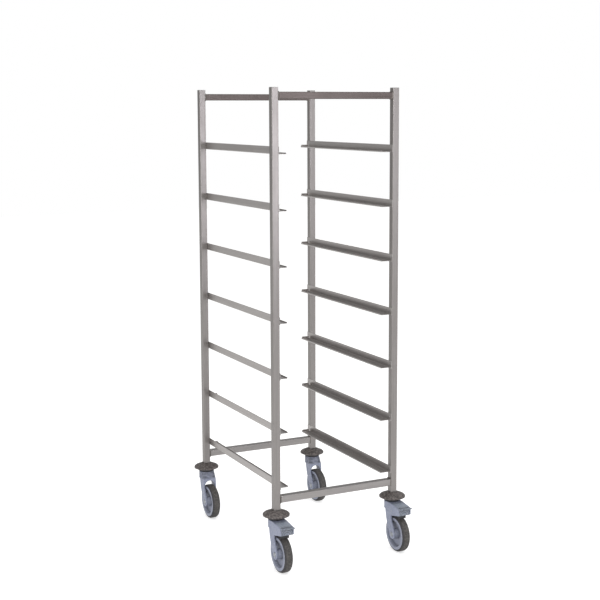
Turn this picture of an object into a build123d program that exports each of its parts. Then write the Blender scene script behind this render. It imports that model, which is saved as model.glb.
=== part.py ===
from build123d import *
from math import radians, sqrt, tan
import os

# Basket trolley: a welded frame of square tube, seven pairs of folded runners and four swivel castors.
# Millimetres. X runs from left to right across the front, Y to the back and Z up from the floor.
# The origin is on the floor, under the middle of the space that the whole trolley takes up.

# Frame
overall_height = 1725.0
post_spacing_x = 483.0
post_spacing_y = 675.0
tube = 25.0
tube_wall = 1.5
tube_corner = 2.0
least_bore_corner = 0.3
post_bottom = 212.0
cap_thickness = 2.5
cap_plug_depth = 10.0
cap_plug_clearance = 0.2
cap_edge = 1.2
top_rail_drop = 16.0
bottom_rail_lift = 32.0

# Runners
runner_levels = 7
runner_pitch = 200.0
lowest_runner_lift = 81.0
runner_sheet = 1.5
runner_leg = 27.0
runner_flange = 38.0
runner_bend = 2.5
runner_lip = 5.0
flange_setback = 18.0
stop_height = 11.0
stop_corner = 3.0

# Rivets that hold the runners to the posts
rivet_radius = 2.0
rivet_head_radius = 4.0
rivet_head_height = 1.2
rivet_head_taper = 30.0
rivet_tail_radius = 2.8
rivet_tail_length = 1.6
rivet_clearance = 0.05

# Castor forks
wheel_radius = 67.5
castor_trail = 44.0
fork_top = 184.0
crown_radius = 30.0
crown_height = 28.0
crown_flare = 22.0
groove_depth = 1.8
groove_width = 2.4
groove_pitch = 5.6
crown_grooves = 4
arm_thickness = 5.5
arm_edge = 1.0
arm_back = 13.0
back_corner = 20.0
bridge_corner = 4.0
bridge_bottom = 137.0
bridge_front = 36.0
waist_height = 119.0
waist_search = 1.0
waist_back = 2.0
waist_corner = 25.0
foot_radius = 18.0
arch_rise = 12.5
arch_flat = 1.0
hub_side_clearance = 0.5

# Wheels
hub_length = 42.0
hub_radius = 17.0
rim_width = 32.0
rim_flange_radius = 60.0
rim_flange_thickness = 3.0
rim_seat_radius = 55.0
rim_inner_radius = 50.0
rim_draft = 3.0
web_thickness = 6.0
tread_half_width = 9.0
shoulder_half_width = 13.5
shoulder_drop = 2.2
bush_wall = 4.0
bush_setback = 0.2

# Axles
axle_radius = 6.0
running_clearance = 0.05
axle_hole_clearance = 0.05
axle_head_radius = 9.5
axle_head_height = 2.2
axle_head_taper = 35.0

# Swivel pins
stem_radius = 6.0
stem_length = 72.0
journal_radius = 7.0
head_radius = 26.0
head_gap = 0.6
head_height = 5.4
keeper_radius = 11.0
keeper_height = 4.0
keeper_gap = 0.4
keeper_pocket_radius = 12.5
crown_floor = 16.0

# Bumper discs, and the inserts that grip the stems inside the posts
bumper_radius = 49.0
bumper_rim_height = 5.0
bumper_lower_rise = 8.0
bumper_shoulder_radius = 44.0
bumper_shoulder_rise = 4.5
bumper_neck_radius = 32.0
bumper_top_radius = 19.5
bumper_bore_clearance = 0.4
socket_depth = 6.0
socket_clearance = 0.25
insert_length = 46.0
insert_clearance = 0.15
insert_corner = 1.5
insert_bore_clearance = 0.1

# Brake on the two front castors
hood_length = 92.0
hood_slope = 7.0
hood_wall = 3.5
hood_front_depth = 26.0
hood_corner = 2.0
pedal_length = 102.0
pedal_thickness = 4.0
pedal_tip_thickness = 1.6
pedal_side_clearance = 0.5
pedal_end_clearance = 0.6
nose_half_width = 22.5
nose_thickness = 3.5
nose_setback = 2.0
nose_bottom = 149.0
ridge_first_radius = 50.0
ridge_pitch = 12.0
ridge_width = 4.0
ridge_height = 2.4
ridge_count = 4
ridge_half_width = 19.0
pivot_reach = 43.0
pivot_height = 157.0
pivot_radius = 3.0
lug_radius = 6.5
lug_thickness = 4.5
shoe_back = 51.0
shoe_half_width = 16.0
shoe_gap = 4.5
shoe_toe = 74.0

# Sizes worked out from the ones above
reach_front = max(castor_trail + wheel_radius, pedal_length)
frame_y = (reach_front - bumper_radius) / 2
front_y = frame_y - post_spacing_y / 2
rear_y = frame_y + post_spacing_y / 2
post_x = post_spacing_x / 2
inner_face_x = post_x - tube / 2
post_top = overall_height - cap_thickness
tube_bore = tube - 2 * tube_wall
bore_corner = max(tube_corner - tube_wall, least_bore_corner)
lowest_runner_bottom = post_bottom + lowest_runner_lift
runner_bottoms = [lowest_runner_bottom + runner_pitch * level for level in range(runner_levels)]
rivet_heights = [bottom + (runner_leg + runner_sheet) / 2 for bottom in runner_bottoms]
fork_inner = hub_length / 2 + hub_side_clearance
fork_outer = fork_inner + arm_thickness
crown_bottom = fork_top - crown_height
pocket_top = fork_top - crown_floor
head_bottom = fork_top + head_gap
head_top = head_bottom + head_height
bumper_top = post_bottom + socket_depth
bush_radius = axle_radius + running_clearance + bush_wall
hood_tan = tan(radians(hood_slope))
flare_tan = tan(radians(crown_flare))
pedal_half_width = fork_outer - hood_wall - pedal_side_clearance
pedal_start = bridge_front + pedal_end_clearance
shoe_radius = wheel_radius + shoe_gap

feet = {
    "front_left": (-post_x, front_y),
    "front_right": (post_x, front_y),
    "rear_left": (-post_x, rear_y),
    "rear_right": (post_x, rear_y),
}
braked_feet = ["front_left", "front_right"]

os.makedirs("parts", exist_ok=True)


def save(part, name):
    part.label = name
    export_step(part, "parts/" + name + ".step")


# Side plane of a castor: local x runs forward from the swivel axis and local y is the height.
def side_plane(foot):
    x, y = feet[foot]
    return Plane(origin=(x, y, 0), x_dir=(0, -1, 0), z_dir=(-1, 0, 0))


# Front plane of a castor: local x runs to the right of the swivel axis and local y is the height.
def front_plane(foot):
    x, y = feet[foot]
    return Plane(origin=(x, y, 0), x_dir=(1, 0, 0), z_dir=(0, -1, 0))


# Front plane of a wheel: local x runs along the axle and local y out from it.
def wheel_plane(foot):
    x, y = feet[foot]
    return Plane(origin=(x, y - castor_trail, wheel_radius), x_dir=(1, 0, 0), z_dir=(0, -1, 0))


def swivel_axis(foot):
    x, y = feet[foot]
    return Axis((x, y, 0), (0, 0, 1))


def axle_axis(foot):
    x, y = feet[foot]
    return Axis((x, y - castor_trail, wheel_radius), (1, 0, 0))


# Height of the brake hood's sloping top, by its distance forward of the swivel axis
def hood_top(reach):
    return fork_top - (reach - crown_radius) * hood_tan


# Height of the brake shoe's face, which is round about the axle
def shoe_face(reach):
    return wheel_radius + sqrt(shoe_radius**2 - (reach - castor_trail) ** 2)


# Corner posts of square tube, with a rivet hole for each runner in the wall it lies on
def build_post(foot):
    x, y = feet[foot]
    inward = -1 if x > 0 else 1
    inner_face = Plane(origin=(x + inward * tube / 2, y, 0), x_dir=(0, 1, 0), z_dir=(inward, 0, 0))
    with BuildPart() as post:
        with BuildSketch(Plane((x, y, post_bottom))):
            RectangleRounded(tube, tube, tube_corner)
            RectangleRounded(tube_bore, tube_bore, bore_corner, mode=Mode.SUBTRACT)
        extrude(amount=post_top - post_bottom)
        with BuildSketch(inner_face):
            with Locations([(0, inward * height) for height in rivet_heights]):
                Circle(rivet_radius + rivet_clearance)
        extrude(amount=-2 * tube_wall, mode=Mode.SUBTRACT)
    return post.part


# Caps that close the posts, each with a plug inside the tube
def build_post_caps():
    plug = tube_bore - 2 * cap_plug_clearance
    with BuildPart() as post_caps:
        with BuildSketch(Plane((0, frame_y, post_top))):
            with GridLocations(post_spacing_x, post_spacing_y, 2, 2):
                RectangleRounded(tube, tube, tube_corner)
        extrude(amount=cap_thickness)
        fillet(post_caps.edges().group_by(Axis.Z)[-1], cap_edge)
        with BuildSketch(Plane((0, frame_y, post_top))):
            with GridLocations(post_spacing_x, post_spacing_y, 2, 2):
                Rectangle(plug, plug)
        extrude(amount=-cap_plug_depth)
    return post_caps.part


# Cross rails of the same tube, welded between a left and a right post
def build_cross_rail(y, rail_top):
    rail_length = post_spacing_x - tube
    left_end = Plane(origin=(-rail_length / 2, y, rail_top - tube / 2), x_dir=(0, 1, 0), z_dir=(1, 0, 0))
    with BuildPart() as cross_rail:
        with BuildSketch(left_end):
            RectangleRounded(tube, tube, tube_corner)
            RectangleRounded(tube_bore, tube_bore, bore_corner, mode=Mode.SUBTRACT)
        extrude(amount=rail_length)
    return cross_rail.part


# Runners of folded sheet: a leg on the posts, a flange that carries the basket, and a lip along its edge
def build_runner(side, bottom):
    leg_face = side * inner_face_x
    front_end = front_y - tube / 2
    rear_end = rear_y + tube / 2
    flange_rear = rear_end - flange_setback
    bend_inside = runner_bend - runner_sheet
    lip_inside = runner_flange - runner_sheet
    rear_plane = Plane(origin=(leg_face, rear_end, bottom), x_dir=(-side, 0, 0), z_dir=(0, side, 0))
    stop_plane = Plane(origin=(leg_face, flange_rear, bottom), x_dir=(-side, 0, 0), z_dir=(0, side, 0))
    leg_plane = Plane(origin=(leg_face, 0, 0), x_dir=(0, 1, 0), z_dir=(-side, 0, 0))
    cut_width = runner_flange - runner_bend
    cut_x = leg_face - side * (runner_bend + cut_width / 2)
    cut_height = max(runner_lip, runner_bend)
    stop_start = 2 * runner_bend
    stop_end = lip_inside
    with BuildPart() as runner:
        with BuildSketch(rear_plane):
            with BuildLine():
                FilletPolyline(
                    (0, runner_leg), (0, 0), (runner_flange, 0), (runner_flange, runner_lip),
                    (lip_inside, runner_lip), (lip_inside, runner_sheet), (runner_sheet, runner_sheet),
                    (runner_sheet, runner_leg),
                    radius=[0, runner_bend, runner_bend, 0, 0, bend_inside, bend_inside, 0], close=True,
                )
            make_face()
        extrude(amount=-side * (rear_end - front_end))
        # The flange and its lip stop short of both ends of the leg
        with BuildSketch(Plane((0, 0, bottom))):
            with Locations((cut_x, front_end + flange_setback / 2), (cut_x, rear_end - flange_setback / 2)):
                Rectangle(cut_width, flange_setback)
        extrude(amount=cut_height, mode=Mode.SUBTRACT)
        # A stop folded up at the rear end of the flange
        with BuildSketch(stop_plane):
            with BuildLine():
                FilletPolyline(
                    (stop_start, 0), (stop_end, 0), (stop_end, stop_height), (stop_start, stop_height),
                    radius=[0, 0, stop_corner, stop_corner], close=True,
                )
            make_face()
        extrude(amount=-side * runner_sheet)
        with BuildSketch(leg_plane):
            rivet_y = -side * (bottom + (runner_leg + runner_sheet) / 2)
            with Locations((front_y, rivet_y), (rear_y, rivet_y)):
                Circle(rivet_radius + rivet_clearance)
        extrude(amount=runner_sheet, mode=Mode.SUBTRACT)
    return runner.part


# Rivets of one side: a domed head on the runner, a shank through both walls and a tail inside the post
def build_runner_rivets(side):
    seat_x = side * (inner_face_x - runner_sheet)
    head_seat = Plane(origin=(seat_x, 0, 0), x_dir=(0, 1, 0), z_dir=(-side, 0, 0))
    grip = runner_sheet + tube_wall
    spots = [(y, -side * height) for height in rivet_heights for y in (front_y, rear_y)]
    with BuildPart() as rivets:
        with BuildSketch(head_seat):
            with Locations(spots):
                Circle(rivet_head_radius)
        extrude(amount=rivet_head_height, taper=rivet_head_taper)
        with BuildSketch(head_seat):
            with Locations(spots):
                Circle(rivet_radius)
        extrude(amount=-grip - rivet_tail_length)
        with BuildSketch(head_seat.offset(-grip)):
            with Locations(spots):
                Circle(rivet_tail_radius)
        extrude(amount=-rivet_tail_length)
    return rivets.part


# Bumper discs: domed above and conical below, with a square socket for the post and a hole for the stem
def build_bumper(foot):
    x, y = feet[foot]
    rim_bottom = head_top + bumper_lower_rise
    rim_top = rim_bottom + bumper_rim_height
    bore = stem_radius + bumper_bore_clearance
    socket_width = tube + 2 * socket_clearance
    with BuildPart() as bumper:
        with BuildSketch(front_plane(foot)):
            with BuildLine():
                Polyline(
                    (bore, head_top), (bumper_neck_radius, head_top), (bumper_radius, rim_bottom),
                    (bumper_radius, rim_top), (bumper_shoulder_radius, rim_top + bumper_shoulder_rise),
                    (bumper_top_radius, bumper_top), (bore, bumper_top), close=True,
                )
            make_face()
        revolve(axis=swivel_axis(foot))
        with BuildSketch(Plane((x, y, bumper_top))):
            RectangleRounded(socket_width, socket_width, tube_corner + socket_clearance)
        extrude(amount=-socket_depth, mode=Mode.SUBTRACT)
    return bumper.part


# Plugs inside the bottom of the posts that grip the stems, four of the same
def build_stem_inserts():
    width = tube_bore - 2 * insert_clearance
    with BuildPart() as inserts:
        with BuildSketch(Plane((0, frame_y, post_bottom))):
            with GridLocations(post_spacing_x, post_spacing_y, 2, 2):
                RectangleRounded(width, width, insert_corner)
                Circle(stem_radius + insert_bore_clearance, mode=Mode.SUBTRACT)
        extrude(amount=insert_length)
    return inserts.part


# Swivel pins: a stem in the post, a head that carries the frame, and a journal riveted over in the crown
def build_swivel_pin(foot):
    keeper_top = pocket_top - keeper_gap
    with BuildPart() as swivel_pin:
        with BuildSketch(front_plane(foot)):
            with BuildLine():
                Polyline(
                    (0, keeper_top - keeper_height), (keeper_radius, keeper_top - keeper_height),
                    (keeper_radius, keeper_top), (journal_radius, keeper_top), (journal_radius, head_bottom),
                    (head_radius, head_bottom), (head_radius, head_top), (stem_radius, head_top),
                    (stem_radius, head_top + stem_length), (0, head_top + stem_length), close=True,
                )
            make_face()
        revolve(axis=swivel_axis(foot))
    return swivel_pin.part


# Side view of a fork above the waist, with the corner radii; a braked one runs forward under its pedal
def fork_outline(braked):
    arm = [
        (-arm_back, fork_top), (-arm_back / 2, crown_bottom), (waist_back, waist_height),
        (bridge_front, waist_height), (bridge_front, bridge_bottom),
    ]
    hood = [(hood_length, hood_top(hood_length) - hood_front_depth), (hood_length, hood_top(hood_length))]
    crown = [(crown_radius, fork_top)]
    if braked:
        return arm + hood + crown, [0, back_corner, 0, 0, bridge_corner, hood_corner, hood_corner, 0]
    return arm + crown, [0, back_corner, 0, 0, bridge_corner, 0]


# Moulded forks: a round crown, two arms and, on a braked castor, a hood with an open top for the pedal
def build_fork(foot):
    x, y = feet[foot]
    braked = foot in braked_feet
    points, radii = fork_outline(braked)
    with BuildPart() as fork:
        with BuildSketch(side_plane(foot)) as side_view:
            # Below the waist the arm tapers to a round foot at the axle
            with BuildLine():
                Line((waist_back, waist_height), (bridge_front, waist_height))
            with Locations((castor_trail, wheel_radius)):
                Circle(foot_radius)
            make_hull()
            with BuildLine():
                FilletPolyline(*points, radius=radii, close=True)
            make_face()
            waist = side_view.vertices().filter_by_position(
                Axis.Y, waist_height - waist_search, waist_height + waist_search
            )
            fillet(waist, waist_corner)
        extrude(amount=fork_outer, both=True)
        side_faces = fork.faces().filter_by(Axis.X)
        chamfer(side_faces.edges(), arm_edge)
        # The corners of the bridge are trimmed by a cone that widens downwards from the crown
        if not braked:
            with BuildSketch(Plane((x, y, fork_top))):
                Circle(crown_radius)
            extrude(amount=-fork_top, taper=-crown_flare, mode=Mode.INTERSECT)
        with BuildSketch(Plane((x, y, crown_bottom))):
            Circle(crown_radius)
        extrude(amount=crown_height)
        # Grooves run round the flare at the front of the crown
        if not braked:
            for groove in range(crown_grooves):
                drop = (groove + 1) * groove_pitch
                flared_radius = min(crown_radius + drop * flare_tan, bridge_front)
                with BuildSketch(Plane((x, y, fork_top - drop))):
                    Circle(2 * crown_radius)
                    Circle(flared_radius - groove_depth, mode=Mode.SUBTRACT)
                extrude(amount=groove_width, mode=Mode.SUBTRACT)
        # The space for the wheel, arched under the bridge
        with BuildSketch(front_plane(foot)):
            with BuildLine():
                FilletPolyline(
                    (-fork_inner, 0), (fork_inner, 0), (fork_inner, bridge_bottom + arch_rise),
                    (-fork_inner, bridge_bottom + arch_rise),
                    radius=[0, 0, fork_inner - arch_flat, fork_inner - arch_flat], close=True,
                )
            make_face()
        extrude(amount=2 * wheel_radius, both=True, mode=Mode.SUBTRACT)
        # The pedal's space between the sides of the hood
        if braked:
            with BuildSketch(side_plane(foot)):
                with Locations((bridge_front + hood_length, bridge_bottom + hood_length)):
                    Rectangle(2 * hood_length, 2 * hood_length)
            extrude(amount=fork_outer - hood_wall, both=True, mode=Mode.SUBTRACT)
            with BuildSketch(side_plane(foot)):
                with Locations((pivot_reach, pivot_height)):
                    Circle(pivot_radius)
            extrude(amount=fork_outer, both=True, mode=Mode.SUBTRACT)
        with BuildSketch(side_plane(foot)):
            with Locations((castor_trail, wheel_radius)):
                Circle(axle_radius + axle_hole_clearance)
        extrude(amount=fork_outer, both=True, mode=Mode.SUBTRACT)
        with BuildSketch(Plane((x, y, fork_top))):
            Circle(journal_radius + running_clearance)
        extrude(amount=-crown_height, mode=Mode.SUBTRACT)
        with BuildSketch(Plane((x, y, pocket_top))):
            Circle(keeper_pocket_radius)
        extrude(amount=-crown_height, mode=Mode.SUBTRACT)
    return fork.part


# Wheel centres: a hub, a thin web and a rim with a flange on each side of the tyre's seat
def build_wheel_centre(foot):
    half = rim_width / 2
    web = web_thickness / 2
    seat = half - rim_flange_thickness
    with BuildPart() as wheel_centre:
        with BuildSketch(wheel_plane(foot)):
            with BuildLine():
                Polyline(
                    (0, bush_radius), (hub_length / 2, bush_radius), (hub_length / 2, hub_radius),
                    (web, hub_radius + rim_draft), (web, rim_inner_radius - rim_draft),
                    (half, rim_inner_radius), (half, rim_flange_radius), (seat, rim_flange_radius),
                    (seat, rim_seat_radius), (0, rim_seat_radius), close=True,
                )
            make_face()
        revolve(axis=axle_axis(foot))
        mirror(about=Plane(origin=(feet[foot][0], 0, 0), z_dir=(1, 0, 0)))
    return wheel_centre.part


# Tyres: moulded into the rim's seat, with sloping shoulders beside the tread
def build_tyre(foot):
    half = rim_width / 2
    seat = half - rim_flange_thickness
    with BuildPart() as tyre:
        with BuildSketch(wheel_plane(foot)):
            with BuildLine():
                Polyline(
                    (tread_half_width, wheel_radius), (0, wheel_radius), (0, rim_seat_radius),
                    (seat, rim_seat_radius), (seat, rim_flange_radius), (half, rim_flange_radius),
                    (shoulder_half_width, wheel_radius - shoulder_drop), close=True,
                )
            make_face()
        revolve(axis=axle_axis(foot))
        mirror(about=Plane(origin=(feet[foot][0], 0, 0), z_dir=(1, 0, 0)))
    return tyre.part


# Bearing bushes, pressed into the hubs
def build_wheel_bush(foot):
    x, y = feet[foot]
    with BuildPart() as wheel_bush:
        with BuildSketch(Plane(origin=(x, y - castor_trail, wheel_radius), x_dir=(0, 1, 0), z_dir=(1, 0, 0))):
            Circle(bush_radius)
            Circle(axle_radius + running_clearance, mode=Mode.SUBTRACT)
        extrude(amount=hub_length / 2 - bush_setback, both=True)
    return wheel_bush.part


# Axles: steel pins with a low head formed on each end against the fork's arms
def build_axle(foot):
    x, y = feet[foot]
    middle = Plane(origin=(x, y - castor_trail, wheel_radius), x_dir=(0, 1, 0), z_dir=(1, 0, 0))
    with BuildPart() as axle:
        with BuildSketch(middle):
            Circle(axle_radius)
        extrude(amount=fork_outer, both=True)
        with BuildSketch(middle.offset(fork_outer)):
            Circle(axle_head_radius)
        extrude(amount=axle_head_height, taper=axle_head_taper)
        mirror(about=middle)
    return axle.part


# Brake pedals: a sloping plate with curved grip ridges, a wide lip, a nose and two lugs on the pivot pin
def build_brake_pedal(foot):
    x, y = feet[foot]
    lip_start = hood_length + pedal_end_clearance
    lip_under = hood_top(lip_start) - pedal_thickness
    tip_top = hood_top(pedal_length)
    under_back = hood_top(pedal_start) - pedal_thickness
    nose_front = hood_length - nose_setback
    nose_back = nose_front - nose_thickness
    lug_end = pivot_reach + 2 * lug_radius
    top_plane = Plane(origin=(x, y, hood_top(0)), x_dir=(1, 0, 0), z_dir=(0, -hood_tan, 1))
    with BuildPart() as pedal:
        with BuildSketch(side_plane(foot)):
            with BuildLine():
                Polyline(
                    (pedal_start, hood_top(pedal_start)), (lip_start, hood_top(lip_start)),
                    (lip_start, lip_under),
                    (pedal_start, under_back), close=True,
                )
            make_face()
        extrude(amount=pedal_half_width, both=True)
        with BuildSketch(side_plane(foot)):
            with BuildLine():
                Polyline(
                    (lip_start, hood_top(lip_start)), (pedal_length, tip_top),
                    (pedal_length, tip_top - pedal_tip_thickness), (lip_start, lip_under), close=True,
                )
            make_face()
        extrude(amount=fork_outer, both=True)
        with BuildSketch(side_plane(foot)):
            with BuildLine():
                Polyline(
                    (nose_back, hood_top(nose_back) - pedal_thickness / 2),
                    (nose_front, hood_top(nose_front) - pedal_thickness / 2),
                    (nose_front, nose_bottom), (nose_back, nose_bottom), close=True,
                )
            make_face()
        extrude(amount=nose_half_width, both=True)
        # Lugs at both sides, from the plate down to the pivot
        for face, depth in ((pedal_half_width, -lug_thickness), (-pedal_half_width, lug_thickness)):
            with BuildSketch(side_plane(foot).offset(face)):
                with BuildLine():
                    Polyline(
                        (pedal_start, under_back + pedal_thickness / 2), (pedal_start, pivot_height),
                        (pivot_reach, pivot_height), (lug_end, hood_top(lug_end) - pedal_thickness / 2),
                        close=True,
                    )
                make_face()
                with Locations((pivot_reach, pivot_height)):
                    Circle(lug_radius)
            extrude(amount=depth)
        with BuildSketch(side_plane(foot)):
            with Locations((pivot_reach, pivot_height)):
                Circle(pivot_radius + running_clearance)
        extrude(amount=pedal_half_width, both=True, mode=Mode.SUBTRACT)
        with BuildSketch(top_plane):
            for ridge in range(ridge_count):
                ridge_radius = ridge_first_radius + ridge * ridge_pitch
                Circle(ridge_radius + ridge_width)
                Circle(ridge_radius, mode=Mode.SUBTRACT)
            with Locations((0, -pedal_length / 2)):
                Rectangle(2 * ridge_half_width, pedal_length, mode=Mode.INTERSECT)
        extrude(amount=ridge_height)
    return pedal.part


# Brake shoes: rubber blocks under the pedals, with a face that follows the tyre at a gap
def build_brake_shoe(foot):
    middle = (shoe_toe + shoe_back) / 2
    with BuildPart() as shoe:
        with BuildSketch(side_plane(foot)):
            with BuildLine():
                Polyline(
                    (shoe_toe, shoe_face(shoe_toe)), (shoe_toe, hood_top(shoe_toe) - pedal_thickness),
                    (shoe_back, hood_top(shoe_back) - pedal_thickness), (shoe_back, shoe_face(shoe_back)),
                )
                ThreePointArc(
                    (shoe_toe, shoe_face(shoe_toe)), (middle, shoe_face(middle)),
                    (shoe_back, shoe_face(shoe_back)),
                )
            make_face()
        extrude(amount=shoe_half_width, both=True)
    return shoe.part


# Pivot pins of the pedals, fixed in the sides of the hood
def build_pedal_pin(foot):
    with BuildPart() as pedal_pin:
        with BuildSketch(side_plane(foot)):
            with Locations((pivot_reach, pivot_height)):
                Circle(pivot_radius)
        extrude(amount=fork_outer, both=True)
    return pedal_pin.part


for foot in feet:
    save(build_post(foot), foot + "_post")
    save(build_bumper(foot), foot + "_bumper")
    save(build_swivel_pin(foot), foot + "_swivel_pin")
    save(build_fork(foot), foot + "_fork")
    save(build_axle(foot), foot + "_axle")
    save(build_wheel_centre(foot), foot + "_wheel_centre")
    save(build_tyre(foot), foot + "_tyre")
    save(build_wheel_bush(foot), foot + "_wheel_bush")

for foot in braked_feet:
    save(build_brake_pedal(foot), foot + "_brake_pedal")
    save(build_brake_shoe(foot), foot + "_brake_shoe")
    save(build_pedal_pin(foot), foot + "_pedal_pin")

save(build_post_caps(), "post_caps")
save(build_stem_inserts(), "stem_inserts")
save(build_cross_rail(front_y, overall_height - top_rail_drop), "front_top_rail")
save(build_cross_rail(rear_y, overall_height - top_rail_drop), "rear_top_rail")
save(build_cross_rail(front_y, post_bottom + bottom_rail_lift + tube), "front_bottom_rail")
save(build_cross_rail(rear_y, post_bottom + bottom_rail_lift + tube), "rear_bottom_rail")

# Runners are numbered from the top
for side, side_name in ((-1, "left"), (1, "right")):
    for level, bottom in enumerate(runner_bottoms):
        save(build_runner(side, bottom), side_name + "_runner_" + str(runner_levels - level))
    save(build_runner_rivets(side), side_name + "_runner_rivets")
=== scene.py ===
# %% [markdown]
# # A trolley for dishwasher baskets
#
# The object is a tall open trolley. Four square steel posts stand on four castors, two plain
# rails tie them across at the top and two at the bottom, and seven pairs of angle shelves run
# front to back, where the baskets slide in. The front castors have a brake pedal.
#
# The solids come from the engineering model, so their shapes and places are already right. This
# lesson gives them their finishes, adds the weld beads that a drawing leaves out, and sets up
# the floor, the light and the camera.

import math

import bmesh
import bpy
from mathutils import Matrix, Vector


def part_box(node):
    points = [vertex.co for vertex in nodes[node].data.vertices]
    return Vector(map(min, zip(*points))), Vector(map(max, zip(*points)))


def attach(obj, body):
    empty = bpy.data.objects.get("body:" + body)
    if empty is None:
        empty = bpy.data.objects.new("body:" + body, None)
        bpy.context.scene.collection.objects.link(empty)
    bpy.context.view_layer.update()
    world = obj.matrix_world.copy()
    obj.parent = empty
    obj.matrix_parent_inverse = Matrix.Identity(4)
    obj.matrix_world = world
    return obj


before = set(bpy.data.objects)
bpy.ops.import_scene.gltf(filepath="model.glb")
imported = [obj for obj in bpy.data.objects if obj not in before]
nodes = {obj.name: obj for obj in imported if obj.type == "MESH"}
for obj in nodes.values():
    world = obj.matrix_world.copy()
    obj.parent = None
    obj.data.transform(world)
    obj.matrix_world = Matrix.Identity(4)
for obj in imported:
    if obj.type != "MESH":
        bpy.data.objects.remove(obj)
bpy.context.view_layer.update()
print("pieces from the model:", len(nodes))

# %% [markdown]
# ## The camera
#
# The trolley was photographed from its front left, with a long lens at about the height of its
# top rail. A long lens keeps the four posts nearly parallel. The camera could be aimed at the
# trolley by a constraint, but plain angles are easier to check against a picture: it is turned
# right by a heading, tipped down a little, and the rest of the framing is a small lens shift.

# %% Place the camera
CAMERA_PLACE = (-2.0526, -4.2093, 1.6483)
CAMERA_HEADING = 26.078
CAMERA_TIP = -7.416
CAMERA_ROLL = 0.209
CAMERA_LENS = 74.08
CAMERA_RISE = -0.05

camera_data = bpy.data.cameras.new("camera")
camera_data.sensor_width = 36
camera_data.lens = CAMERA_LENS
camera_data.shift_y = CAMERA_RISE
camera_data.clip_start = 0.05
camera_data.clip_end = 60
camera = bpy.data.objects.new("camera", camera_data)
bpy.context.scene.collection.objects.link(camera)
turn = Matrix.Rotation(math.radians(-CAMERA_HEADING), 4, "Z")
tip = Matrix.Rotation(math.radians(90 + CAMERA_TIP), 4, "X")
roll = Matrix.Rotation(math.radians(-CAMERA_ROLL), 4, "Z")
camera.matrix_world = Matrix.Translation(CAMERA_PLACE) @ turn @ tip @ roll
bpy.context.scene.camera = camera
print("camera looks along", [round(value, 3) for value in -camera.matrix_world.col[2].xyz])

# %% [markdown]
# ## Helpers for node trees
#
# Every finish below is a small tree of nodes. Wiring nodes by hand in Python is wordy, so three
# helpers do it: one adds a node and fills in its sockets, one makes a reusable group with named
# sockets, and one starts a material with its Principled shader.

# %% Write the node helpers
def add_node(tree, kind, settings=None, **sockets):
    """Adds a node. A socket is given a value, or another node's output socket to link from."""
    node = tree.nodes.new(kind)
    for key, value in (settings or {}).items():
        setattr(node, key, value)
    for key, value in sockets.items():
        socket = node.inputs[int(key[1:])] if key[1:].isdigit() else node.inputs[key.replace("_", " ")]
        if isinstance(value, bpy.types.NodeSocket):
            tree.links.new(value, socket)
        else:
            socket.default_value = value
    return node


def new_group(name, inputs, outputs):
    """Makes a node group. Each socket is (name, type) or, for an input, (name, type, value)."""
    group = bpy.data.node_groups.new(name, "ShaderNodeTree")
    for entry in inputs:
        socket = group.interface.new_socket(entry[0], in_out="INPUT", socket_type=entry[1])
        if len(entry) > 2:
            socket.default_value = entry[2]
    for entry in outputs:
        group.interface.new_socket(entry[0], in_out="OUTPUT", socket_type=entry[1])
    return group, group.nodes.new("NodeGroupInput"), group.nodes.new("NodeGroupOutput")


def new_material(name):
    """Starts a material and returns it with its tree and its Principled shader."""
    material = bpy.data.materials.new(name)
    material.use_nodes = True
    tree = material.node_tree
    return material, tree, tree.nodes["Principled BSDF"]


def place_group(tree, group, **sockets):
    """Places a node group in a tree."""
    return add_node(tree, "ShaderNodeGroup", {"node_tree": group}, **sockets)


FLOAT, VECTOR = "NodeSocketFloat", "NodeSocketVector"
print("helpers ready")

# %% [markdown]
# ## Edge wear
#
# Hands, baskets and other trolleys rub a metal or plastic edge until it is a little brighter
# and smoother than the flat beside it. An edge could be found from the mesh, but these meshes
# are loose triangles. The Bevel node finds it by looking at the surface itself: near an edge
# its softened normal differs from the true one. A noise breaks the mark up, because wear is
# never even.

# %% Build the edge wear group
edge_wear, wear_in, wear_out = new_group(
    "edge wear",
    [("Vector", VECTOR), ("Radius", FLOAT, 0.001), ("Patches", FLOAT, 60.0), ("Amount", FLOAT, 0.7)],
    [("Wear", FLOAT), ("Soft Normal", VECTOR)],
)
soft = add_node(edge_wear, "ShaderNodeBevel", {"samples": 6}, Radius=wear_in.outputs["Radius"])
true_normal = add_node(edge_wear, "ShaderNodeNewGeometry")
match = add_node(edge_wear, "ShaderNodeVectorMath", {"operation": "DOT_PRODUCT"},
                 _0=soft.outputs["Normal"], _1=true_normal.outputs["Normal"])
edge = add_node(edge_wear, "ShaderNodeMapRange", _0=match.outputs["Value"],
                _1=0.995, _2=0.86, _3=0.0, _4=1.0)
patches = add_node(edge_wear, "ShaderNodeTexNoise", Vector=wear_in.outputs["Vector"],
                   Scale=wear_in.outputs["Patches"], Detail=3.0, Roughness=0.6)
broken = add_node(edge_wear, "ShaderNodeMapRange", _0=patches.outputs["Fac"],
                  _1=0.35, _2=0.62, _3=0.15, _4=1.0)
rubbed = add_node(edge_wear, "ShaderNodeMath", {"operation": "MULTIPLY"},
                  _0=edge.outputs["Result"], _1=broken.outputs["Result"])
scaled = add_node(edge_wear, "ShaderNodeMath", {"operation": "MULTIPLY"},
                  _0=rubbed.outputs["Value"], _1=wear_in.outputs["Amount"])
edge_wear.links.new(scaled.outputs["Value"], wear_out.inputs["Wear"])
edge_wear.links.new(soft.outputs["Normal"], wear_out.inputs["Soft Normal"])
print("edge wear:", len(edge_wear.nodes), "nodes")

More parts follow.
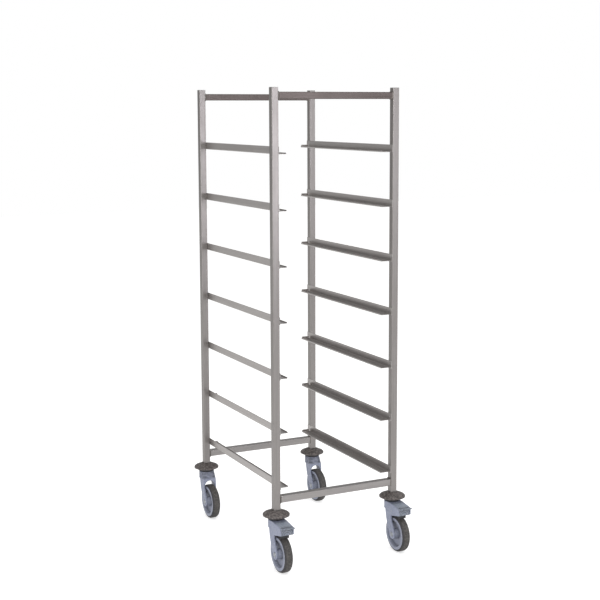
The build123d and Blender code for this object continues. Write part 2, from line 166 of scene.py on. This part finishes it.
# %% [markdown]
# ## Brushed grain
#
# Stainless tube and sheet are sold with a brushed finish: fine scratches that all run one way.
# An image could show them, but a noise stretched along one axis does it at any size, and it
# follows each piece because it reads the piece's own coordinates. Two noises make the grain, a
# fine one for the scratches and a broad one for the bands that the belt leaves. A third, not
# stretched, is the dull haze of wiping and steam.

# %% Build the brushed grain group
brushed_grain, grain_in, grain_out = new_group(
    "brushed grain",
    [("Vector", VECTOR), ("Stretch", VECTOR, (900.0, 900.0, 12.0)), ("Haze Scale", FLOAT, 9.0)],
    [("Scratch", FLOAT), ("Band", FLOAT), ("Haze", FLOAT)],
)
along = add_node(brushed_grain, "ShaderNodeVectorMath", {"operation": "MULTIPLY"},
                 _0=grain_in.outputs["Vector"], _1=grain_in.outputs["Stretch"])
scratch = add_node(brushed_grain, "ShaderNodeTexNoise", Vector=along.outputs["Vector"],
                   Scale=2.2, Detail=4.0, Roughness=0.7)
band = add_node(brushed_grain, "ShaderNodeTexNoise", Vector=along.outputs["Vector"],
                Scale=0.22, Detail=2.0, Roughness=0.5)
haze = add_node(brushed_grain, "ShaderNodeTexNoise", Vector=grain_in.outputs["Vector"],
                Scale=grain_in.outputs["Haze Scale"], Detail=4.0, Roughness=0.55)
brushed_grain.links.new(scratch.outputs["Fac"], grain_out.inputs["Scratch"])
brushed_grain.links.new(band.outputs["Fac"], grain_out.inputs["Band"])
brushed_grain.links.new(haze.outputs["Fac"], grain_out.inputs["Haze"])
print("brushed grain:", len(brushed_grain.nodes), "nodes")

# %% [markdown]
# ## Moulded skin
#
# Plastic and rubber parts carry the texture of the tool they were moulded in: a fine pebbled
# skin and faint flow marks. In use they gain a thin film of dust in patches and small pale mottles
# where they are scuffed. Their hollows, which the Ambient Occlusion node finds, get painted shade.
# One group gives all of these, so that the fork, the wheel and the tyre differ only in numbers.

# %% Build the moulded skin group
moulded_skin, skin_in, skin_out = new_group(
    "moulded skin",
    [("Vector", VECTOR), ("Pebble", FLOAT, 1400.0), ("Flow", FLOAT, 35.0), ("Dust Scale", FLOAT, 70.0),
     ("Reach", FLOAT, 0.014)],
    [("Pebble Height", FLOAT), ("Flow Mark", FLOAT), ("Dust", FLOAT), ("Mottle", FLOAT), ("Hollow Shade", FLOAT)],
)
pebble = add_node(moulded_skin, "ShaderNodeTexVoronoi", {"feature": "SMOOTH_F1"},
                  Vector=skin_in.outputs["Vector"], Scale=skin_in.outputs["Pebble"], Smoothness=0.6)
flow = add_node(moulded_skin, "ShaderNodeTexNoise", Vector=skin_in.outputs["Vector"],
                Scale=skin_in.outputs["Flow"], Detail=3.0, Distortion=0.8)
dust = add_node(moulded_skin, "ShaderNodeTexNoise", Vector=skin_in.outputs["Vector"],
                Scale=skin_in.outputs["Dust Scale"], Detail=6.0, Roughness=0.65)
settled = add_node(moulded_skin, "ShaderNodeMapRange", _0=dust.outputs["Fac"],
                   _1=0.45, _2=0.75, _3=0.0, _4=1.0)
scuff = add_node(moulded_skin, "ShaderNodeTexNoise", Vector=skin_in.outputs["Vector"],
                 Scale=150.0, Detail=2.0, Roughness=0.5)
mottle = add_node(moulded_skin, "ShaderNodeMapRange", _0=scuff.outputs["Fac"],
                  _1=0.42, _2=0.64, _3=0.0, _4=1.0)
# Painted shade: where the piece's own surface closes round a point, its colour is darkened there.
hollow = add_node(moulded_skin, "ShaderNodeAmbientOcclusion", {"samples": 8, "only_local": True},
                  Distance=skin_in.outputs["Reach"])
hollow_shade = add_node(moulded_skin, "ShaderNodeMapRange", _0=hollow.outputs["AO"],
                 _1=0.4, _2=0.9, _3=1.0, _4=0.0)
moulded_skin.links.new(pebble.outputs["Distance"], skin_out.inputs["Pebble Height"])
moulded_skin.links.new(flow.outputs["Fac"], skin_out.inputs["Flow Mark"])
moulded_skin.links.new(settled.outputs["Result"], skin_out.inputs["Dust"])
moulded_skin.links.new(mottle.outputs["Result"], skin_out.inputs["Mottle"])
moulded_skin.links.new(hollow_shade.outputs["Result"], skin_out.inputs["Hollow Shade"])
print("moulded skin:", len(moulded_skin.nodes), "nodes")

# %% [markdown]
# ## The steel of posts, rails and runners
#
# The frame is warm grey stainless steel, and the grain follows each piece: up a post, across a
# rail, along a runner. One recipe is called four times, with the grain turned and a tone chosen
# for each kind of piece, so that under these lamps it comes out as bright as that piece looked.
# These tones are painted light and shade on one steel: the top rails are painted darkest as
# shade, the bottom rails and runners paler as light, the runners palest. The colour moves between
# two near greys, the scratches move the roughness and the bump, and the worn edges are paler.

# %% Write the brushed steel recipe
STEEL_EDGE = (0.56, 0.545, 0.54, 1)


def brushed_steel(name, stretch, deep, pale):
    """A brushed steel whose grain runs along the axis that has the small number in stretch."""
    material, tree, shader = new_material(name)
    place = add_node(tree, "ShaderNodeTexCoord").outputs["Object"]
    grain = place_group(tree, brushed_grain, Vector=place, Stretch=stretch)
    wear = place_group(tree, edge_wear, Vector=place, Radius=0.0012, Patches=45.0, Amount=0.6)
    tone = add_node(tree, "ShaderNodeMix", {"data_type": "RGBA"}, _0=grain.outputs["Band"],
                    _6=deep, _7=pale)
    worn = add_node(tree, "ShaderNodeMix", {"data_type": "RGBA"}, _0=wear.outputs["Wear"],
                    _6=tone.outputs[2], _7=STEEL_EDGE)
    rough = add_node(tree, "ShaderNodeMapRange", _0=grain.outputs["Scratch"], _1=0.3, _2=0.7, _3=0.28, _4=0.4)
    hazed = add_node(tree, "ShaderNodeMath", {"operation": "MULTIPLY_ADD"},
                     _0=grain.outputs["Haze"], _1=0.16, _2=-0.06)
    dull = add_node(tree, "ShaderNodeMath", {"operation": "ADD"},
                    _0=rough.outputs["Result"], _1=hazed.outputs["Value"])
    bump = add_node(tree, "ShaderNodeBump", Strength=0.12, Distance=0.0002,
                    Height=grain.outputs["Scratch"], Normal=wear.outputs["Soft Normal"])
    tree.links.new(worn.outputs[2], shader.inputs["Base Color"])
    tree.links.new(dull.outputs["Value"], shader.inputs["Roughness"])
    tree.links.new(bump.outputs["Normal"], shader.inputs["Normal"])
    shader.inputs["Metallic"].default_value = 1.0
    shader.inputs["Anisotropic"].default_value = 0.35
    return material


UPRIGHT, ACROSS, BACKWARD = (900.0, 900.0, 12.0), (12.0, 900.0, 900.0), (900.0, 12.0, 900.0)
# One steel in four tones: the top rails are painted darker as shade, the bottom rails and runners paler as
# light.
post_steel = brushed_steel("post steel", UPRIGHT, (0.232, 0.217, 0.209, 1), (0.312, 0.296, 0.288, 1))
top_rail_shaded_steel = brushed_steel("top rail steel painted dark as shade", ACROSS, (0.082, 0.069, 0.064, 1), (0.134, 0.117, 0.111, 1))
bottom_rail_lit_steel = brushed_steel("bottom rail steel painted pale as light", ACROSS, (0.262, 0.246, 0.239, 1),
                                  (0.358, 0.344, 0.338, 1))
runner_lit_steel = brushed_steel("runner steel painted pale as light", BACKWARD, (0.36, 0.339, 0.328, 1), (0.486, 0.466, 0.456, 1))
print("brushed steels: 4")

# %% [markdown]
# ## Satin and plated steel
#
# The caps of the posts and the rivets are pressed, so they have no direction in them: a soft
# satin with faint clouds. The axles and pedal pins of the castors are plated with zinc, which
# is bluer and shows the small pale crystals of the plating. The swivel pins are painted nearly
# black, as painted shade under the bumpers. All are one recipe with other numbers.

# %% Write the satin metal recipe
def satin_metal(name, deep, pale, cloud_scale, roughness, crystals):
    """A metal with soft clouds and, where crystals is above 0, the cells of a plating."""
    material, tree, shader = new_material(name)
    place = add_node(tree, "ShaderNodeTexCoord").outputs["Object"]
    cloud = add_node(tree, "ShaderNodeTexNoise", Vector=place, Scale=cloud_scale, Detail=5.0, Roughness=0.6)
    cell = add_node(tree, "ShaderNodeTexVoronoi", Vector=place, Scale=cloud_scale * 3)
    cells = add_node(tree, "ShaderNodeMath", {"operation": "MULTIPLY_ADD"},
                     _0=cell.outputs["Distance"], _1=crystals, _2=cloud.outputs["Fac"])
    wear = place_group(tree, edge_wear, Vector=place, Radius=0.0008, Patches=90.0, Amount=0.55)
    tone = add_node(tree, "ShaderNodeMix", {"data_type": "RGBA"}, _0=cells.outputs["Value"],
                    _6=deep, _7=pale)
    worn = add_node(tree, "ShaderNodeMix", {"data_type": "RGBA"}, _0=wear.outputs["Wear"],
                    _6=tone.outputs[2], _7=STEEL_EDGE)
    rough = add_node(tree, "ShaderNodeMapRange", _0=cloud.outputs["Fac"], _1=0.3, _2=0.7,
                     _3=roughness - 0.06, _4=roughness + 0.08)
    bump = add_node(tree, "ShaderNodeBump", Strength=0.1, Distance=0.0002,
                    Height=cells.outputs["Value"], Normal=wear.outputs["Soft Normal"])
    tree.links.new(worn.outputs[2], shader.inputs["Base Color"])
    tree.links.new(rough.outputs["Result"], shader.inputs["Roughness"])
    tree.links.new(bump.outputs["Normal"], shader.inputs["Normal"])
    shader.inputs["Metallic"].default_value = 1.0
    return material


cap_steel = satin_metal("satin cap steel", (0.25, 0.238, 0.232, 1), (0.35, 0.338, 0.33, 1), 160.0, 0.34, 0.1)
rivet_steel = satin_metal("rivet steel", (0.30, 0.288, 0.28, 1), (0.40, 0.388, 0.38, 1), 420.0, 0.30, 0.1)
zinc_steel = satin_metal("zinc plated steel", (0.22, 0.235, 0.26, 1), (0.34, 0.355, 0.38, 1),
                         300.0, 0.34, 0.5)
# The swivel pins are painted nearly black as the shade under each bumper.
swivel_shade_steel = satin_metal("swivel steel painted dark as shade", (0.035, 0.034, 0.035, 1), (0.07, 0.068, 0.068, 1),
                        200.0, 0.42, 0.2)
print("satin metals:", cap_steel.name, "/", rivet_steel.name, "/", zinc_steel.name, "/", swivel_shade_steel.name)

# %% [markdown]
# ## Moulded plastic and rubber
#
# Fork, pedal and wheel centre are moulded in a light blue grey plastic. The tyre is a dark warm
# grey rubber that does not mark a kitchen floor, the ring over each castor is a brown black
# bumper, and the brake shoe is nearly black. They share one recipe: two tones moved by the flow
# marks, a film of dust and pale mottles, painted shade in the hollows, a pebbled bump and rubbed
# edges. Rubber is rougher and more mottled.
#
# Three pieces have a pattern of their own. Fine level ribs run round the crown of a rear fork,
# fine rings on a pedal keep a shoe from slipping, and a tyre's shoulders and side walls carry
# painted shade that makes them darker than its tread. The ribs and rings are too fine to be worth
# faces, so a Wave texture lowers them and paints shade into their grooves. It is placed by the
# piece's own coordinates, so it stays put when the piece turns.

# %% Write the moulded recipe
# The near black that is painted as shade into hollows and the bottoms of grooves.
PAINTED_SHADE = (0.045, 0.042, 0.045, 1)
tyre_low, tyre_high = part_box("front_right_tyre")
FOOT_X = (tyre_low.x + tyre_high.x) / 2
pedal_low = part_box("front_right_brake_pedal")[0]

# A Wave texture of scale 1 turns by this many radians in a metre
WAVE_RATE = 20
GROOVE_PITCH = 0.0056
GROOVE_WAVE = math.tau / (WAVE_RATE * GROOVE_PITCH)

# The phase sets the ribs in step with the grooves that the solid has
CROWN_BOTTOM, CROWN_TOP = 0.1575, 0.1828
CROWN_BOTTOM_FADE, CROWN_TOP_FADE = 0.001, 0.0005
CROWN_PHASE = 4.267
RIB_SHADE_AND_DEPTH = 0.8
GRIP_CENTRE = (FOOT_X, pedal_low.y, pedal_low.z)
GRIP_EDGE, GRIP_REACH = 0.004, 0.046
GRIP_SHADE_AND_DEPTH = 0.5
TREAD_HALF = 0.009
SHOULDER_FADE = 0.004
# The colour of the painted shade on a tyre's shoulders and side walls.
SHOULDER_SHADE = (0.020, 0.020, 0.025, 1)


def cut_grooves(tree, wave, there, shade_and_depth, colour, bump):
    """Paints shade into the grooves of a wave where the mask allows, and lowers them. Returns colour and
    bump.
    """
    dip = add_node(tree, "ShaderNodeMapRange", _0=wave.outputs["Fac"], _1=0.1, _2=0.6, _3=shade_and_depth, _4=0.0)
    shade = add_node(tree, "ShaderNodeMath", {"operation": "MULTIPLY"},
                     _0=dip.outputs["Result"], _1=there)
    # The grooves get painted shade, mixed toward the near black.
    grooved = add_node(tree, "ShaderNodeMix", {"data_type": "RGBA"}, _0=shade.outputs["Value"],
                       _6=colour.outputs[2], _7=PAINTED_SHADE)
    lowered = add_node(tree, "ShaderNodeBump", {"invert": True}, Strength=0.8, Distance=0.0008,
                       Height=shade.outputs["Value"], Normal=bump.outputs["Normal"])
    return grooved, lowered


def crown_ribs(tree, place, colour, bump):
    """Level ribs round a rear fork's crown, in step with the grooves cut at its front, with painted shade in
    their grooves.
    """
    height = add_node(tree, "ShaderNodeSeparateXYZ", Vector=place).outputs["Z"]
    wave = add_node(tree, "ShaderNodeTexWave", {"bands_direction": "Z"}, Vector=place,
                    Scale=GROOVE_WAVE, Distortion=0.0, Phase_Offset=CROWN_PHASE)
    above = add_node(tree, "ShaderNodeMapRange", _0=height, _1=CROWN_BOTTOM,
                     _2=CROWN_BOTTOM + CROWN_BOTTOM_FADE, _3=0.0, _4=1.0)
    below = add_node(tree, "ShaderNodeMapRange", _0=height, _1=CROWN_TOP,
                     _2=CROWN_TOP + CROWN_TOP_FADE, _3=1.0, _4=0.0)
    there = add_node(tree, "ShaderNodeMath", {"operation": "MULTIPLY"},
                     _0=above.outputs["Result"], _1=below.outputs["Result"])
    return cut_grooves(tree, wave, there.outputs["Value"], RIB_SHADE_AND_DEPTH, colour, bump)


def grip_rings(tree, place, colour, bump):
    """Fine rings about the middle of a pedal's nose, the same on the left pedal and the right, with painted
    shade in their grooves.
    """
    either_side = add_node(tree, "ShaderNodeVectorMath", {"operation": "ABSOLUTE"}, _0=place)
    split = add_node(tree, "ShaderNodeSeparateXYZ", Vector=place)
    across = add_node(tree, "ShaderNodeSeparateXYZ", Vector=either_side.outputs["Vector"])
    mirrored = add_node(tree, "ShaderNodeCombineXYZ", X=across.outputs["X"],
                        Y=split.outputs["Y"], Z=split.outputs["Z"])
    from_nose = add_node(tree, "ShaderNodeVectorMath", {"operation": "SUBTRACT"},
                         _0=mirrored.outputs["Vector"], _1=GRIP_CENTRE)
    wave = add_node(tree, "ShaderNodeTexWave", {"wave_type": "RINGS", "rings_direction": "SPHERICAL"},
                    Vector=from_nose.outputs["Vector"], Scale=GROOVE_WAVE, Distortion=0.0)
    distance = add_node(tree, "ShaderNodeVectorMath", {"operation": "LENGTH"},
                        _0=from_nose.outputs["Vector"])
    there = add_node(tree, "ShaderNodeMapRange", _0=distance.outputs["Value"], _1=GRIP_REACH - GRIP_EDGE,
                     _2=GRIP_REACH, _3=1.0, _4=0.0)
    return cut_grooves(tree, wave, there.outputs["Result"], GRIP_SHADE_AND_DEPTH, colour, bump)


def paint_shoulder_shade(tree, place, colour, bump):
    """Paints shade onto a tyre's shoulders and side walls, so that they are darker than its tread."""
    sides = add_node(tree, "ShaderNodeSeparateXYZ", Vector=place)
    from_middle = add_node(tree, "ShaderNodeMath", {"operation": "ABSOLUTE"}, _0=sides.outputs["X"])
    from_wheel = add_node(tree, "ShaderNodeMath", {"operation": "SUBTRACT"},
                          _0=from_middle.outputs["Value"], _1=FOOT_X)
    off_plane = add_node(tree, "ShaderNodeMath", {"operation": "ABSOLUTE"}, _0=from_wheel.outputs["Value"])
    side = add_node(tree, "ShaderNodeMapRange", _0=off_plane.outputs["Value"], _1=TREAD_HALF,
                    _2=TREAD_HALF + SHOULDER_FADE, _3=0.0, _4=0.7)
    walls = add_node(tree, "ShaderNodeMix", {"data_type": "RGBA"}, _0=side.outputs["Result"],
                     _6=colour.outputs[2], _7=SHOULDER_SHADE)
    return walls, bump


def moulded(name, deep, pale, dusty, roughness, pebble=1400.0, height=0.15, rub=0.35,
            film=0.2, scuffs=0.2, hollow_shade_strength=0.75, reach=0.014, pattern=None):
    """A moulded plastic or rubber. rub is how far its edges pale, film and scuffs are its dust and
    mottles, and the two after them the darkness and width of the painted shade in its hollows.
    pattern is a function that adds its grooves and painted shade."""
    material, tree, shader = new_material(name)
    place = add_node(tree, "ShaderNodeTexCoord").outputs["Object"]
    skin = place_group(tree, moulded_skin, Vector=place, Pebble=pebble, Reach=reach)
    wear = place_group(tree, edge_wear, Vector=place, Radius=0.0010, Patches=80.0, Amount=rub)
    tone = add_node(tree, "ShaderNodeMix", {"data_type": "RGBA"}, _0=skin.outputs["Flow Mark"],
                    _6=deep, _7=pale)
    worn = add_node(tree, "ShaderNodeMix", {"data_type": "RGBA"}, _0=wear.outputs["Wear"],
                    _6=tone.outputs[2], _7=dusty)
    amount = add_node(tree, "ShaderNodeMath", {"operation": "MULTIPLY"}, _0=skin.outputs["Dust"], _1=film)
    paled = add_node(tree, "ShaderNodeMath", {"operation": "MULTIPLY_ADD"},
                     _0=skin.outputs["Mottle"], _1=scuffs, _2=amount.outputs["Value"])
    dusted = add_node(tree, "ShaderNodeMix", {"data_type": "RGBA"}, _0=paled.outputs["Value"],
                      _6=worn.outputs[2], _7=dusty)
    # The hollows get painted shade: their colour is mixed toward the near black.
    hollow_shade_amount = add_node(tree, "ShaderNodeMath", {"operation": "MULTIPLY"}, _0=skin.outputs["Hollow Shade"], _1=hollow_shade_strength)
    darkened = add_node(tree, "ShaderNodeMix", {"data_type": "RGBA"}, _0=hollow_shade_amount.outputs["Value"],
                        _6=dusted.outputs[2], _7=PAINTED_SHADE)
    rough = add_node(tree, "ShaderNodeMapRange", _0=skin.outputs["Dust"], _1=0.0, _2=1.0,
                     _3=roughness, _4=min(1.0, roughness + 0.18))
    bump = add_node(tree, "ShaderNodeBump", Strength=height, Distance=0.0003,
                    Height=skin.outputs["Pebble Height"], Normal=wear.outputs["Soft Normal"])
    if pattern:
        darkened, bump = pattern(tree, place, darkened, bump)
    tree.links.new(darkened.outputs[2], shader.inputs["Base Color"])
    tree.links.new(rough.outputs["Result"], shader.inputs["Roughness"])
    tree.links.new(bump.outputs["Normal"], shader.inputs["Normal"])
    return material


FORK_DEEP, FORK_PALE, FORK_DUST = (0.190, 0.214, 0.300, 1), (0.265, 0.290, 0.385, 1), (0.46, 0.48, 0.56, 1)
fork_plastic = moulded("blue grey fork plastic", FORK_DEEP, FORK_PALE, FORK_DUST, 0.42, scuffs=0.25)
ribbed_plastic = moulded("ribbed fork plastic", FORK_DEEP, FORK_PALE, FORK_DUST, 0.42, scuffs=0.25,
                         pattern=crown_ribs)
pedal_plastic = moulded("blue grey pedal plastic", (0.165, 0.190, 0.240, 1), (0.235, 0.264, 0.322, 1),
                        (0.42, 0.45, 0.50, 1), 0.42, scuffs=0.3, pattern=grip_rings)
wheel_plastic = moulded("blue grey wheel plastic", (0.205, 0.228, 0.305, 1), (0.285, 0.308, 0.390, 1),
                        (0.45, 0.46, 0.52, 1), 0.46, scuffs=0.35, hollow_shade_strength=0.85, reach=0.022)
tyre_rubber = moulded("warm grey tyre rubber", (0.034, 0.031, 0.030, 1), (0.053, 0.049, 0.047, 1),
                      (0.15, 0.14, 0.13, 1), 0.62, pebble=900.0, height=0.25, film=0.22, scuffs=0.36,
                      pattern=paint_shoulder_shade)
bumper_rubber = moulded("brown black bumper rubber", (0.030, 0.025, 0.023, 1), (0.055, 0.048, 0.045, 1),
                        (0.24, 0.21, 0.20, 1), 0.5, height=0.2, film=0.2, scuffs=0.5)
shoe_rubber = moulded("black shoe rubber", (0.016, 0.016, 0.017, 1), (0.028, 0.028, 0.030, 1),
                      (0.10, 0.10, 0.10, 1), 0.66, height=0.25, film=0.3)
dark_plastic = moulded("dark bush plastic", (0.030, 0.031, 0.034, 1), (0.045, 0.047, 0.050, 1),
                       (0.12, 0.12, 0.125, 1), 0.44, film=0.15)
print("moulded finishes: 8")

# %% [markdown]
# ## Dress the pieces
#
# The model's pieces keep their meshes. Only the material in each object's slot changes, and
# the piece's name says which finish it takes.

# %% Assign the finishes
FINISHES = {
    "_post": post_steel,
    "_top_rail": top_rail_shaded_steel,
    "_bottom_rail": bottom_rail_lit_steel,
    "_rivets": rivet_steel,
    "_runner_": runner_lit_steel,
    "post_caps": cap_steel,
    "rear_left_fork": ribbed_plastic,
    "rear_right_fork": ribbed_plastic,
    "_fork": fork_plastic,
    "_brake_pedal": pedal_plastic,
    "_wheel_centre": wheel_plastic,
    "_tyre": tyre_rubber,
    "_bumper": bumper_rubber,
    "_brake_shoe": shoe_rubber,
    "_axle": zinc_steel,
    "_pedal_pin": zinc_steel,
    "_swivel_pin": swivel_shade_steel,
    "_wheel_bush": dark_plastic,
    "stem_inserts": dark_plastic,
}


def finish_for(name):
    """The first finish in the list whose words are in the piece's name."""
    return next(material for words, material in FINISHES.items() if words in name)


for name, piece in nodes.items():
    piece.data.materials.clear()
    piece.data.materials.append(finish_for(name))
print("dressed", len(nodes), "pieces")

# %% [markdown]
# ## Weld beads
#
# The four cross rails are welded to the posts. A weld leaves a small rippled bead all round
# the end of the tube. It could be a texture, but a real rim catches the light and casts the
# thin dark line that the eye reads as a joint. Each bead starts as a cube drawn round the tube's
# end: its corners are rounded, its sides are cut finely, and each row of points is pushed out
# in small waves.

# %% Make the weld beads
BEAD_LEG = 0.0032
BEAD_CORNER = 0.0021
BEAD_WAVE = 0.0003
BEAD_WAVES = 34
BEAD_SLANT = 2.5
BEAD_SWELL = 0.8
CORNER_CUTS, SIDE_CUTS, LEG_CUTS = 3, 14, 3
RAILS = ("front_top_rail", "rear_top_rail", "front_bottom_rail", "rear_bottom_rail")


def add_weld_bead(all_beads, end, centre, half, inward):
    """Adds the bead round one tube end. inward is the way along X from the post to the rail."""
    bead = bmesh.new()
    bmesh.ops.create_cube(bead, size=1)
    bmesh.ops.scale(bead, verts=bead.verts, vec=(BEAD_LEG, 2 * half, 2 * half))
    long_edges = [e for e in bead.edges if abs(e.verts[0].co.x - e.verts[1].co.x) > BEAD_LEG / 2]
    bmesh.ops.bevel(bead, geom=long_edges, offset=BEAD_CORNER, affect="EDGES",
                    segments=CORNER_CUTS, profile=0.5, material=-1)
    sides = [e for e in bead.edges if e.calc_length() > half]
    bmesh.ops.subdivide_edges(bead, edges=sides, cuts=SIDE_CUTS)
    across = [e for e in bead.edges if abs(e.verts[0].co.x - e.verts[1].co.x) > BEAD_LEG / 2]
    bmesh.ops.subdivide_edges(bead, edges=across, cuts=LEG_CUTS)
    for vertex in bead.verts:
        toward_post = 0.5 - vertex.co.x / BEAD_LEG
        outward = Vector((0, vertex.co.y, vertex.co.z)).normalized()
        around = math.atan2(vertex.co.z, vertex.co.y)
        wave = math.sin(around * BEAD_WAVES + toward_post * BEAD_SLANT) * BEAD_WAVE
        swell = BEAD_LEG * math.sin(toward_post * math.pi / 2) * BEAD_SWELL
        vertex.co += outward * (swell + wave)
        vertex.co.x = (vertex.co.x + BEAD_LEG / 2) * inward
    bmesh.ops.translate(bead, verts=bead.verts, vec=(end, centre.y, centre.z))
    bmesh.ops.recalc_face_normals(bead, faces=bead.faces)
    one_bead = bpy.data.meshes.new("bead")
    bead.to_mesh(one_bead)
    bead.free()
    all_beads.from_mesh(one_bead)
    bpy.data.meshes.remove(one_bead)


bead_mesh = bmesh.new()
for rail in RAILS:
    low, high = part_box(rail)
    middle = (low + high) / 2
    half_tube = (high.y - low.y) / 2
    add_weld_bead(bead_mesh, low.x, middle, half_tube, 1)
    add_weld_bead(bead_mesh, high.x, middle, half_tube, -1)
bead_data = bpy.data.meshes.new("weld_beads")
bead_mesh.to_mesh(bead_data)
bead_mesh.free()
for polygon in bead_data.polygons:
    polygon.use_smooth = True
weld_beads = bpy.data.objects.new("weld_beads", bead_data)
bpy.context.scene.collection.objects.link(weld_beads)
weld_steel = satin_metal("weld steel", (0.10, 0.087, 0.078, 1), (0.24, 0.222, 0.21, 1), 500.0, 0.4, 0.3)
weld_beads.data.materials.append(weld_steel)
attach(weld_beads, "frame")
print("weld beads:", len(bead_data.polygons), "faces")

# %% [markdown]
# ## The floor
#
# The trolley stands on a white studio floor. A floor that is only lit would come out grey, and
# more lamps would wash the steel out. So the rays that come straight from the camera, or that
# metal and glass send on, also see a little light given off by the floor, just enough to make
# its open part white. Metal sees half as much of it as the camera, because a white floor in the
# posts would hide their grey. The shadow under the castors stays.

# %% Lay the floor
FLOOR_SIZE = 30.0
FLOOR_GLOW = 0.50
MIRRORED_GLOW = 0.5

floor_mesh = bmesh.new()
bmesh.ops.create_grid(floor_mesh, x_segments=1, y_segments=1, size=FLOOR_SIZE / 2)
floor_data = bpy.data.meshes.new("floor")
floor_mesh.to_mesh(floor_data)
floor_mesh.free()
floor = bpy.data.objects.new("floor", floor_data)
bpy.context.scene.collection.objects.link(floor)

floor_paint, tree, shader = new_material("white floor")
shader.inputs["Roughness"].default_value = 0.9
shader.inputs["Specular IOR Level"].default_value = 0.1
spot = add_node(tree, "ShaderNodeTexCoord").outputs["Object"]
cloud = add_node(tree, "ShaderNodeTexNoise", Vector=spot, Scale=3.0, Detail=4.0)
pale = add_node(tree, "ShaderNodeMix", {"data_type": "RGBA"}, _0=cloud.outputs["Fac"],
                _6=(0.80, 0.80, 0.80, 1), _7=(0.82, 0.82, 0.82, 1))
tree.links.new(pale.outputs[2], shader.inputs["Base Color"])
path = add_node(tree, "ShaderNodeLightPath").outputs
sent_on = add_node(tree, "ShaderNodeMath", {"operation": "MAXIMUM"},
                   _0=path["Is Glossy Ray"], _1=path["Is Transmission Ray"])
mirrored = add_node(tree, "ShaderNodeMath", {"operation": "MULTIPLY"}, _0=sent_on.outputs["Value"],
                    _1=MIRRORED_GLOW)
seen = add_node(tree, "ShaderNodeMath", {"operation": "MAXIMUM"},
                _0=path["Is Camera Ray"], _1=mirrored.outputs["Value"])
glow = add_node(tree, "ShaderNodeEmission", Color=(1, 1, 1, 1), Strength=FLOOR_GLOW)
dark = add_node(tree, "ShaderNodeEmission", Color=(0, 0, 0, 1), Strength=0.0)
either = add_node(tree, "ShaderNodeMixShader", _0=seen.outputs["Value"],
                  _1=dark.outputs["Emission"], _2=glow.outputs["Emission"])
both = add_node(tree, "ShaderNodeAddShader", _0=shader.outputs["BSDF"], _1=either.outputs["Shader"])
tree.links.new(both.outputs["Shader"], tree.nodes["Material Output"].inputs["Surface"])
floor.data.materials.append(floor_paint)
print("floor:", FLOOR_SIZE, "m")

# %% [markdown]
# ## The studio
#
# The light is soft and comes from all round, with five panels: front left and high, left, above,
# right, and front. Steel shows what stands round it, so each panel also draws something on it.
# The left one draws the pale line down the rounded corner of a post, and the front one, a little
# violet, the pale upper part of the near posts. The front one is narrow, because a wide one
# would turn the shelves pure white from behind. The world is white where the camera looks, and
# the surround that the steel reflects is brighter toward the front left than elsewhere, as a
# studio is toward its main panels.

# %% Light the studio
AMBIENT = 0.70
BRIGHT_SIDE = (-0.55, -0.83, 0.1)
FADE_FROM, FADE_TO = 0.38, 0.56
SURROUND_DIM = 0.48
SURROUND_BRIGHT = 0.84
PANELS = (
    ("front left panel", (-1.7, -2.5, 3.0), (-0.1, -0.2, 1.1), (1.5, 1.5), 16, (1, 1, 1)),
    ("left panel", (-3.6, -1.8, 1.5), (0, 0, 1.0), (1.6, 1.6), 44, (1, 1, 1)),
    ("top panel", (0.4, -0.2, 4.4), (0, 0, 0.9), (3.0, 3.0), 40, (1, 1, 1)),
    ("right panel", (3.6, -1.6, 2.4), (0, 0, 0.9), (2.4, 2.4), 26, (1, 1, 1)),
    ("front panel", (1.22, -3.9, 1.65), (-0.2, -0.3, 1.4), (0.9, 1.8), 25, (0.95, 0.93, 1)),
)

world = bpy.data.worlds.new("studio")
bpy.context.scene.world = world
world.use_nodes = True
tree = world.node_tree
tree.nodes.clear()
direction = add_node(tree, "ShaderNodeTexCoord").outputs["Generated"]
facing = add_node(tree, "ShaderNodeVectorMath", {"operation": "DOT_PRODUCT"},
                  _0=direction, _1=BRIGHT_SIDE)
fade = add_node(tree, "ShaderNodeMapRange", _0=facing.outputs["Value"], _1=FADE_FROM, _2=FADE_TO,
                _3=SURROUND_DIM, _4=SURROUND_BRIGHT)
surround = add_node(tree, "ShaderNodeCombineColor", _0=fade.outputs["Result"],
                    _1=fade.outputs["Result"], _2=fade.outputs["Result"])
path = add_node(tree, "ShaderNodeLightPath").outputs
mirrored = add_node(tree, "ShaderNodeMath", {"operation": "MAXIMUM"},
                    _0=path["Is Glossy Ray"], _1=path["Is Transmission Ray"])
shown = add_node(tree, "ShaderNodeMix", {"data_type": "RGBA"}, _0=path["Is Camera Ray"],
                 _6=surround.outputs["Color"], _7=(1, 1, 1, 1))
any_seen = add_node(tree, "ShaderNodeMath", {"operation": "MAXIMUM"},
                    _0=mirrored.outputs["Value"], _1=path["Is Camera Ray"])
backdrop = add_node(tree, "ShaderNodeBackground", Color=shown.outputs[2], Strength=1.0)
ambient = add_node(tree, "ShaderNodeBackground", Color=(1.0, 0.995, 0.985, 1), Strength=AMBIENT)
chosen = add_node(tree, "ShaderNodeMixShader", _0=any_seen.outputs["Value"],
                  _1=ambient.outputs["Background"], _2=backdrop.outputs["Background"])
add_node(tree, "ShaderNodeOutputWorld", Surface=chosen.outputs["Shader"])

for name, place, aim, size, watts, tint in PANELS:
    lamp = bpy.data.lights.new(name, "AREA")
    lamp.shape = "RECTANGLE"
    lamp.size, lamp.size_y = size
    lamp.energy = watts
    lamp.color = tint
    panel = bpy.data.objects.new(name, lamp)
    bpy.context.scene.collection.objects.link(panel)
    panel.visible_camera = False
    look = Vector(aim) - Vector(place)
    panel.matrix_world = Matrix.Translation(place) @ look.to_track_quat("-Z", "Y").to_matrix().to_4x4()
bpy.context.scene.view_settings.view_transform = "Standard"
print("panels:", [entry[0] for entry in PANELS])
